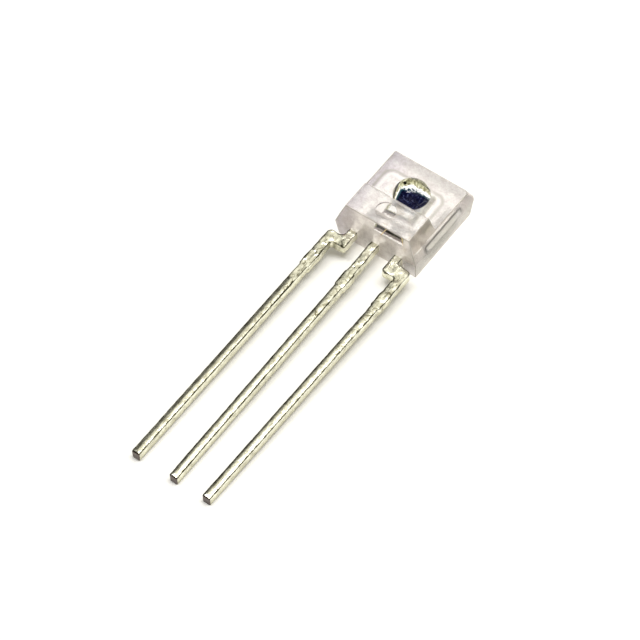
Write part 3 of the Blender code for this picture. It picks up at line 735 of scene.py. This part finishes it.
class SENSOR_OT_package(bpy.types.Operator):
    """Model the clear moulding with its lens and pin mark"""

    bl_idname = "sensor.package"
    bl_label = "Clear Package"

    def execute(self, context):
        s = context.scene.sensor_package
        piece = self.body(s)
        cut_or_join(piece, self.lens(s), "UNION")
        cut_or_join(piece, self.pin_mark(s), "DIFFERENCE")
        self.finish_faces(piece, s)
        attach(piece, "clear_package")
        return {"FINISHED"}

    def body(self, s):
        half = s.body_width / 2
        lens_half = half - s.side_draft
        back_half = half - s.back_side_draft
        back = (-back_half, back_half, s.back_end_draft, s.body_length - s.back_end_draft, 0.0)
        parting = (-half, half, 0.0, s.body_length, s.parting_height)
        lens_face = (-lens_half, lens_half, s.lead_end_draft, s.body_length - s.far_end_draft,
                     s.lens_face_height)
        bar_half = lens_half - s.shoulder_end_draft
        bar_top = (-bar_half, bar_half, s.lead_end_draft + s.shoulder_wall_draft,
                   s.shoulder_length - s.shoulder_wall_draft, s.shoulder_height)
        bm = bmesh.new()
        drafted_block(bm, back, parting)
        bm.normal_update()
        raise_face(bm, level_face(bm, s.body_length / 2), lens_face)
        plate = level_face(bm, s.body_length / 2)
        split_faces(bm, [plate], (0.0, s.shoulder_length, 0.0), (0.0, 1.0, 0.0))
        bm.normal_update()
        raise_face(bm, level_face(bm, s.shoulder_length / 2), bar_top)
        self.round_gate_corner(bm, s)
        edges = [e for e in bm.edges if e.calc_face_angle(0.0) > SHARP]
        bmesh.ops.bevel(bm, geom=edges, offset=s.edge_radius, offset_type="OFFSET", segments=3,
                        profile=0.5, affect="EDGES", material=-1, clamp_overlap=True)
        self.mark_out_window(bm, s)
        bmesh.ops.recalc_face_normals(bm, faces=bm.faces)
        return finished_object(bm, "package_shell")

    def round_gate_corner(self, bm, s):
        """Round the upright edges at the far right corner, where the resin ran into the mould."""
        upright = [e for e in bm.edges
                   if all(v.co.x > 0.0 and v.co.y > s.shoulder_length + TOUCH for v in e.verts)
                   and abs(e.verts[0].co.z - e.verts[1].co.z) > TOUCH]
        bmesh.ops.bevel(bm, geom=upright, offset=s.gate_corner_radius, offset_type="OFFSET", segments=8,
                        profile=0.5, affect="EDGES", clamp_overlap=True)

    def mark_out_window(self, bm, s):
        """Split the lead end along the outlines of its two clear places."""
        across, up = (1.0, 0.0, 0.0), (0.0, 0.0, 1.0)
        wall = [f for f in bm.faces
                if f.normal.y < -SQUARELY and f.calc_center_median().z < s.parting_height]
        split_faces(bm, wall, (s.clear_corner, 0.0, 0.0), across)
        for place, normal in (((s.window_left, 0.0, 0.0), across), ((s.window_right, 0.0, 0.0), across),
                              ((0.0, 0.0, s.window_bottom), up)):
            front = [f for f in bm.faces
                     if f.normal.y < -SQUARELY and f.calc_center_median().z > s.lens_face_height]
            split_faces(bm, front, place, normal)

    def lens(self, s):
        bm = bmesh.new()
        centre = s.lens_face_height + s.lens_rise - s.lens_radius
        top = bm.verts.new((0.0, s.lens_y, centre + s.lens_radius))
        reach = math.acos((s.lens_face_height - centre) / s.lens_radius)
        arc = bmesh.ops.spin(bm, geom=[top], cent=(0.0, s.lens_y, centre), axis=(0.0, 1.0, 0.0),
                             angle=reach, steps=28)
        end = next(v for v in arc["geom_last"] if isinstance(v, bmesh.types.BMVert))
        root = bmesh.ops.extrude_vert_indiv(bm, verts=[end])["verts"][0]
        root.co.z = s.lens_face_height - s.lens_root
        middle = bmesh.ops.extrude_vert_indiv(bm, verts=[root])["verts"][0]
        middle.co.x = 0.0
        bmesh.ops.spin(bm, geom=list(bm.verts) + list(bm.edges), cent=(0.0, s.lens_y, 0.0),
                       axis=(0.0, 0.0, 1.0), angle=2 * math.pi, steps=96, use_merge=True)
        bmesh.ops.remove_doubles(bm, verts=bm.verts, dist=WELD)
        bmesh.ops.recalc_face_normals(bm, faces=bm.faces)
        return finished_object(bm, "lens_cap")

    def pin_mark(self, s):
        bm = bmesh.new()
        bmesh.ops.create_cone(bm, cap_ends=True, segments=64, radius1=s.mark_radius,
                              radius2=s.mark_radius, depth=2 * s.mark_depth)
        bmesh.ops.translate(bm, vec=(s.mark_x, s.mark_y, s.shoulder_height), verts=bm.verts)
        return finished_object(bm, "pin_mark")

    def finish_faces(self, piece, s):
        """Give each face the finish of its part of the mould."""
        finishes = {
            "satin": (s.top_roughness, s.top_clearness, s.texture_depth, s.top_tone),
            # Painted shade on the right side
            "side": (s.side_roughness, s.side_clearness, s.texture_depth / 2, s.side_tone),
            "window": (s.window_roughness, 1.0, 0.0),
            "lens": (0.0, 1.0, 0.0, PLAIN, s.lens_shine),
            "wall": (s.wall_roughness, s.wall_clearness, s.texture_depth, s.wall_tone),
            # Painted shade on the bar's right end
            "end": (s.wall_roughness, s.wall_clearness, s.texture_depth, s.end_painted_shade),
            # Painted shade on the narrow faces along the edges
            "edge": (s.wall_roughness, s.wall_clearness, 0.0, s.edge_painted_shade),
            "mark": (s.mark_roughness, s.mark_clearness, s.texture_depth / 2, s.top_tone),
        }
        order = list(finishes)
        paint(piece.data, *(clear_epoxy("epoxy_" + key, s, *look) for key, look in finishes.items()))
        to_own = LYING.inverted()
        turn = to_own.to_3x3()
        for face in piece.data.polygons:
            place = to_own @ face.center
            facing = turn @ face.normal
            longest = max((piece.data.vertices[a].co - piece.data.vertices[b].co).length
                          for a, b in face.edge_keys)
            face.material_index = order.index(self.finish_of(place, facing, face.area / longest, s))
        smooth_with_sharp_edges(piece, 28.0)
        weighted = piece.modifiers.new("Weighted normals", "WEIGHTED_NORMAL")
        weighted.keep_sharp = True

    def finish_of(self, place, facing, width, s):
        """The finish of a face by its place, the way it faces and its width."""
        lens_reach = math.hypot(place.x, place.y - s.lens_y)
        mark_reach = math.hypot(place.x - s.mark_x, place.y - s.mark_y)
        mark_height = abs(place.z - s.shoulder_height + s.mark_depth)
        front = facing.y < -SQUARELY
        if place.z > s.lens_face_height + TOUCH and lens_reach < s.lens_radius:
            return "lens"
        if mark_height < NEAR_FLOOR * s.mark_depth and mark_reach < s.mark_radius:
            return "mark"
        if width < NARROW * s.edge_radius and mark_reach > PAST_MARK * s.mark_radius:
            return "edge"
        if front and place.z > s.window_bottom and s.window_left < place.x < s.window_right:
            return "window"
        if facing.y < -MAINLY and place.x > s.clear_corner and place.z < s.parting_height:
            return "mark"
        if facing.y < -MAINLY or facing.x < -MAINLY:
            return "wall"
        if facing.x > MAINLY:
            return "end" if place.z > s.lens_face_height else "side"
        return "satin"


# Leads

class SENSOR_OT_leads(bpy.types.Operator):
    """Dip the leads in tin: a wavy, mottled surface over the flat strips"""

    bl_idname = "sensor.leads"
    bl_label = "Plated Leads"

    def execute(self, context):
        s = context.scene.sensor_leads
        plating = tin_plating(s)
        for name in LEAD_NODES:
            piece = self.dipped(frame["nodes"][name], s)
            paint(piece.data, plating)
            smooth_with_sharp_edges(piece, 60.0)
            attach(piece, name)
        return {"FINISHED"}

    def dipped(self, node, s):
        """A fine-meshed copy of a strip: its top crowned, and wavy from the dipping outside the package."""
        bm = bmesh.new()
        bm.from_mesh(node.data)
        bmesh.ops.remove_doubles(bm, verts=bm.verts, dist=WELD)
        bm.transform(LYING.inverted())
        top = max(v.co.z for v in bm.verts)
        edges = self.edge_points(bm, s)
        bm.transform(LYING)
        piece = finished_object(bm, node.name.replace("lead", "lead_plated"), Matrix.Scale(1.0 / MM, 4))
        remesh = piece.modifiers.new("Fine faces", "REMESH")
        remesh.mode = "VOXEL"
        remesh.voxel_size = s.voxel / MM
        apply_modifiers(piece)
        bm = bmesh.new()
        bm.from_mesh(piece.data)
        bmesh.ops.smooth_vert(bm, verts=bm.verts, factor=0.5, use_axis_x=True, use_axis_y=True,
                              use_axis_z=True)
        bm.transform(LYING.inverted() @ Matrix.Scale(MM, 4))
        bm.normal_update()
        edge_reach = bm.verts.layers.float.new("edge_reach")
        lean = s.ground_lean if node.name == LEAD_NODES[0] else 0.0
        straight = [v.co.x for v in bm.verts if v.co.y < -s.thick_to]
        middle = (min(straight) + max(straight)) / 2
        for vert in bm.verts:
            nearest, _, reach = edges.find(vert.co)
            # Distance to the nearest edge, narrowed at left edges, for the painted shade line
            vert[edge_reach] = reach / MM * (s.left_narrowing if nearest.x < vert.co.x - s.voxel / 4 else 1.0)
            outside = held(-vert.co.y / s.calm_length)
            near = held((vert.co.y + s.thick_to) / s.thin_over)
            thick = s.thin_depth + (1.0 - s.thin_depth) * near
            wave = noise.noise(vert.co / s.wave_size) * s.wave_depth
            lump = noise.noise(vert.co / s.lump_size + LUMP_SHIFT) * s.lump_depth
            vert.co += vert.normal * (wave + lump) * outside * thick
            if vert.co.z > top - s.voxel:
                bent = held(-(vert.co.y + s.crown_start) / s.thin_over)
                rise = 1.0 - (1.0 - min(1.0, reach / s.crown_width)) ** 2
                vert.co.z += rise * (s.crown * bent + s.crown_least * outside * (1.0 - bent))
                vert.co.z += lean * bent * (vert.co.x - middle)
        bm.transform(LYING)
        bm.to_mesh(piece.data)
        bm.free()
        return piece

    def edge_points(self, bm, s):
        """Points along the sharp edges of a strip."""
        points = []
        for edge in bm.edges:
            if edge.calc_face_angle(0.0) > SHARP:
                first, last = (v.co for v in edge.verts)
                steps = max(1, round(edge.calc_length() / s.voxel))
                points += [first.lerp(last, i / steps) for i in range(steps)]
        tree = kdtree.KDTree(len(points))
        for index, point in enumerate(points):
            tree.insert(point, index)
        tree.balance()
        return tree


# Chip and wires

class SENSOR_OT_chip(bpy.types.Operator):
    """Finish the chip and its adhesive"""

    bl_idname = "sensor.chip"
    bl_label = "Chip"

    def execute(self, context):
        s = context.scene.sensor_chip
        paint(frame["nodes"]["sensor_chip"].data, polished_silicon(s))
        fillet = self.fillet(s)
        paint(fillet.data, silver_adhesive(s))
        attach(fillet, "chip_adhesive")
        return {"FINISHED"}

    def fillet(self, s):
        """The ragged rim of adhesive around the chip, wide on the paddle and thin where it climbs."""
        half_width, half_length, floor = s.chip_half_width, s.chip_half_length, s.fillet_floor
        bm = bmesh.new()
        bmesh.ops.create_grid(bm, x_segments=56, y_segments=76, size=1.0)
        for vert in bm.verts:
            out = max(0.0, (max(abs(vert.co.x), abs(vert.co.y)) - 1.0) / SKIRT + 1.0)
            vert.co.x *= half_width + s.fillet_width * out
            vert.co.y *= half_length + s.fillet_width * out
            wave = noise.noise(vert.co / s.fillet_waves)
            beyond = max(abs(vert.co.x) - half_width, abs(vert.co.y) - half_length, 0.0)
            climb = 0.0
            if beyond > 0.0:
                vert.co.xy *= 1.0 + s.fillet_sway * wave
                rise = max(0.0, 1.0 - beyond / (s.fillet_width * (SPREAD_MEAN + SPREAD_SWING * wave)))
                climb = s.fillet_height * (1.0 + SPREAD_SWING * wave) * rise ** 2
            vert.co.z = floor + s.fillet_film + climb
        faces = bmesh.ops.extrude_face_region(bm, geom=list(bm.faces))["geom"]
        for vert in (g for g in faces if isinstance(g, bmesh.types.BMVert)):
            vert.co.z = floor
        bmesh.ops.recalc_face_normals(bm, faces=bm.faces)
        piece = finished_object(bm, "adhesive_fillet", LYING @ CHIP_PLACE)
        smooth_with_sharp_edges(piece, 50.0)
        return piece


class SENSOR_OT_bond_wires(bpy.types.Operator):
    """Finish the gold bond wires"""

    bl_idname = "sensor.bond_wires"
    bl_label = "Bond Wires"

    def execute(self, context):
        material = gold(context.scene.sensor_chip)
        for name in WIRE_NODES:
            paint(frame["nodes"][name].data, material)
        return {"FINISHED"}


# Stage

class SENSOR_OT_stage(bpy.types.Operator):
    """Set the camera, the white floor, the overhead softbox and the room's light"""

    bl_idname = "sensor.stage"
    bl_label = "Stage"

    def execute(self, context):
        s = context.scene.sensor_stage
        self.camera(context, s)
        self.floor(s)
        self.softbox(context, s)
        self.room(context, s)
        context.scene.view_settings.view_transform = "Standard"
        return {"FINISHED"}

    def axes(self, s):
        """The camera's right, up and backward directions."""
        right = Vector((math.cos(s.azimuth), math.sin(s.azimuth), 0.0))
        back = Vector((math.sin(s.azimuth) * math.cos(s.elevation),
                       -math.cos(s.azimuth) * math.cos(s.elevation), math.sin(s.elevation)))
        return right, back.cross(right), back

    def camera(self, context, s):
        data = bpy.data.cameras.new("camera")
        data.sensor_width = 36.0
        data.lens = s.focal_length
        data.clip_start = MM
        data.clip_end = 10.0
        camera = bpy.data.objects.new("camera", data)
        context.scene.collection.objects.link(camera)
        right, up, back = self.axes(s)
        camera.rotation_euler = Matrix((right, up, back)).transposed().to_euler()
        camera.location = Vector((s.aim_x, s.aim_y, 0.0)) + back * s.distance
        context.scene.camera = camera

    def floor(self, s):
        bm = bmesh.new()
        bmesh.ops.create_grid(bm, x_segments=1, y_segments=1, size=s.floor_size / 2)
        floor = finished_object(bm, "floor", Matrix.Identity(4))
        material, shader = new_material("floor")
        path = "ShaderNodeLightPath"
        seen = (shader.node(path, {}, out="Is Camera Ray") + shader.node(path, {}, out="Is Glossy Ray")
                + shader.node(path, {}, out="Is Transmission Ray")).clamp()
        lift = shader.blend(seen, 0.0, s.floor_lift)
        shader.surface(Base_Color=s.floor_tone, Roughness=0.9, Specular_IOR_Level=0.0,
                       Emission_Color=lift, Emission_Strength=1.0)
        paint(floor.data, material)

    def softbox(self, context, s):
        right, up, back = self.axes(s)
        toward = (right * s.key_way[0] + up * s.key_way[1] + back * s.key_way[2]).normalized()
        data = bpy.data.lights.new("softbox", "AREA")
        data.shape = "RECTANGLE"
        data.size = s.key_width
        data.size_y = s.key_depth
        data.energy = s.key_strength * math.pi * s.key_width * s.key_depth
        softbox = bpy.data.objects.new("softbox", data)
        context.scene.collection.objects.link(softbox)
        across = toward.cross(right).normalized()
        softbox.rotation_euler = Matrix((across.cross(toward), across, toward)).transposed().to_euler()
        softbox.location = Vector((0.0, s.key_aim_y, 0.0)) + toward * s.key_distance

    def room(self, context, s):
        world = bpy.data.worlds.new("room")
        context.scene.world = world
        shader = Shader(world)
        facing = shader.node("ShaderNodeTexCoord", {}, out="Generated")
        tone = s.dim_tone
        for way, span, light in ((s.bright_way, BRIGHT_SPAN, s.bright_tone),
                                 (s.front_way, FRONT_SPAN, s.front_tone)):
            nearness = shader.node("ShaderNodeVectorMath", {"operation": "DOT_PRODUCT"}, facing,
                                   tuple(Vector(way).normalized()), out="Value")
            tone = shader.blend(nearness.between(*span), tone, light)
        light = shader.node("ShaderNodeBackground", {}, tone, 1.0)
        shader.node("ShaderNodeOutputWorld", {}, light)


class SENSOR_PT_panel(bpy.types.Panel):
    """Sidebar panel that lists the pieces"""

    bl_idname = "SENSOR_PT_panel"
    bl_label = "Light Sensor"
    bl_space_type = "VIEW_3D"
    bl_region_type = "UI"
    bl_category = "Sensor"

    def draw(self, context):
        for operator in OPERATORS:
            self.layout.operator(operator.bl_idname)


OPERATORS = (SENSOR_OT_stage, SENSOR_OT_package, SENSOR_OT_leads, SENSOR_OT_chip, SENSOR_OT_bond_wires)
GROUPS = {
    "sensor_package": PackageSettings,
    "sensor_leads": LeadSettings,
    "sensor_chip": ChipSettings,
    "sensor_stage": StageSettings,
}


def register():
    for cls in (*GROUPS.values(), *OPERATORS, SENSOR_PT_panel):
        bpy.utils.register_class(cls)
    for name, group in GROUPS.items():
        setattr(bpy.types.Scene, name, PointerProperty(type=group))


def unregister():
    for name in GROUPS:
        delattr(bpy.types.Scene, name)
    for cls in reversed((*GROUPS.values(), *OPERATORS, SENSOR_PT_panel)):
        bpy.utils.unregister_class(cls)


def main():
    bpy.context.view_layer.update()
    register()
    bpy.ops.sensor.stage()
    bpy.ops.sensor.package()
    bpy.ops.sensor.leads()
    bpy.ops.sensor.chip()
    bpy.ops.sensor.bond_wires()


if __name__ == "__main__":
    main()
